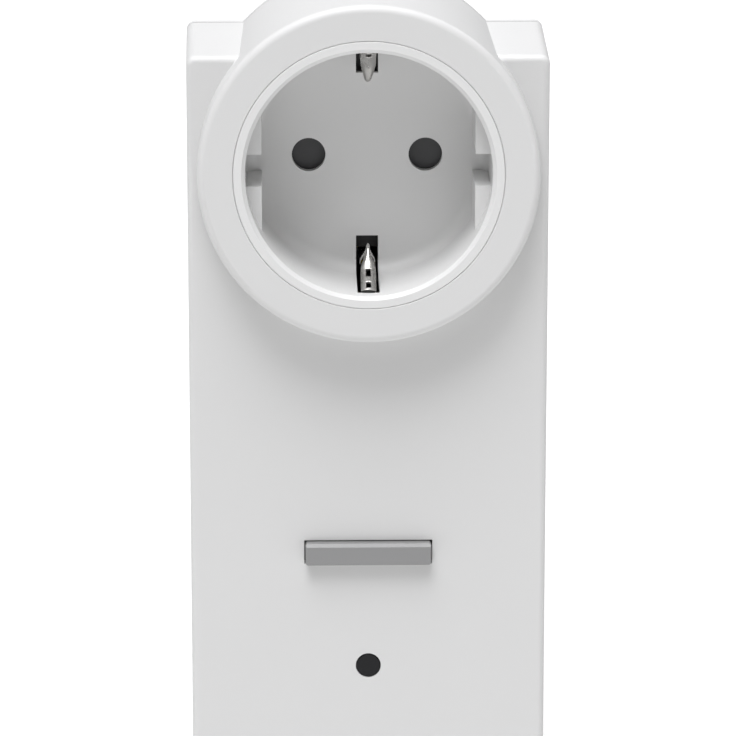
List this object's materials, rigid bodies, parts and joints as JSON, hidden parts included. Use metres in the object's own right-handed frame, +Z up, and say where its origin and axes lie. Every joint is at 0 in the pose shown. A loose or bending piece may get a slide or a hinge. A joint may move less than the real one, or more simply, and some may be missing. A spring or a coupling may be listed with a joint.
{
  "type": "plug in power meter",
  "caption": "White plug-in metering adaptor: tall box with an earthed socket in a round collar, a grey bar button, an indicator lens and an earthed plug on the back.",
  "frame": {"origin": "centre of the plug's end face, midway between its two pins", "axes": "+Z up, +Y out of the back along the plug pins into the wall, +X to the right seen from the front"},
  "size_m": [0.0592, 0.0755, 0.1311],
  "materials": {
    "housing_white": "matt, fine spark-eroded texture",
    "socket_white": "satin moulded",
    "shutter_grey": "satin moulded",
    "button_grey": "satin moulded",
    "lens_smoke": "gloss, nearly opaque smoke tint",
    "lamp_clear": "gloss",
    "nickel": "satin nickel plate",
    "spring_steel": "bright rolled strip",
    "screw_steel": "zinc plated",
    "contact_brass": "rolled",
    "copper_wire": "enamelled copper",
    "tinned_leads": "tinned",
    "relay_iron": "plated soft iron",
    "relay_blue": "satin gloss",
    "inner_grey": "natural moulded",
    "black_plastic": "moulded",
    "board_green": "solder mask",
    "board_blue": "solder mask",
    "sheet_buff": "pressed paper",
    "capacitor_yellow": "satin gloss",
    "varistor_blue": "dipped coat",
    "fuse_glass": "clear",
    "can_sleeve": "shrink sleeve",
    "ferrite": "sintered",
    "tape_amber": "polyester tape",
    "terminal_green": "moulded",
    "wire_brown": "cable insulation",
    "wire_blue": "cable insulation",
    "wire_black": "cable insulation"
  },
  "bodies": {
    "housing": {"front_shell": "housing_white", "rear_cover": "housing_white", "housing_screws": "screw_steel", "line_pin": "nickel", "neutral_pin": "nickel", "line_terminal": "contact_brass", "plug_earth_strap": "nickel", "socket_insert": "socket_white", "shutter_spring": "spring_steel", "contact_carrier": "black_plastic", "carrier_screws": "screw_steel", "earth_clip_upper": "spring_steel", "earth_clip_lower": "spring_steel", "line_contact": "contact_brass", "neutral_contact": "contact_brass", "indicator_lens": "lens_smoke", "status_lamp": "lamp_clear", "tact_switch": "black_plastic", "main_board": "board_green", "control_board": "board_green", "main_board_screws": "screw_steel", "control_board_screws": "screw_steel", "insulation_sheet": "sheet_buff", "relay_case": "relay_blue", "relay_base": "black_plastic", "relay_yoke": "relay_iron", "relay_bobbin": "inner_grey", "relay_coil": "copper_wire", "relay_contact": "contact_brass", "film_capacitor": "capacitor_yellow", "varistor": "varistor_blue", "varistor_leads": "tinned_leads", "fuse_tube": "fuse_glass", "fuse_caps": "tinned_leads", "bulk_capacitors": "can_sleeve", "transformer_core": "ferrite", "transformer_winding": "tape_amber", "transformer_feet": "black_plastic", "choke": "ferrite", "shunt": "copper_wire", "chips": "black_plastic", "optocouplers": "black_plastic", "wire_terminals": "terminal_green", "small_parts": "black_plastic", "radio_board": "board_blue", "radio_shield": "tinned_leads", "antenna": "copper_wire", "board_header": "black_plastic", "header_pins": "tinned_leads", "wire_line_in": "wire_brown", "wire_neutral": "wire_blue", "wire_line_out": "wire_black"},
    "button": {"button": "button_grey"},
    "plunger": {"switch_plunger": "inner_grey"},
    "shutter_disc": {"shutter": "shutter_grey"},
    "armature": {"relay_armature": "relay_iron"}
  },
  "joints": [
    {"name": "button_press", "type": "slide", "parent": "housing", "child": "button", "axis": [0, 1, 0], "range_m": [0, 0.0005], "stiffness_N_per_m": 2500, "springref_m": -0.0002},
    {"name": "switch_press", "type": "slide", "parent": "housing", "child": "plunger", "axis": [0, 1, 0], "range_m": [0, 0.0005]},
    {"name": "shutter_turn", "type": "hinge", "parent": "housing", "child": "shutter_disc", "pos_m": [0, -0.0354, 0], "axis": [0, 1, 0], "range_deg": [0, 38], "stiffness_Nm_per_rad": 0.003, "springref_deg": -14.32},
    {"name": "relay_pull", "type": "hinge", "parent": "housing", "child": "armature", "pos_m": [-0.0083, -0.0371, -0.04175], "axis": [0, 0, -1], "range_deg": [0, 3], "stiffness_Nm_per_rad": 0.005, "springref_deg": -5.73}
  ],
  "couplings": [
    {"joint": "switch_press", "follows": "button_press", "ratio": 1}
  ]
}
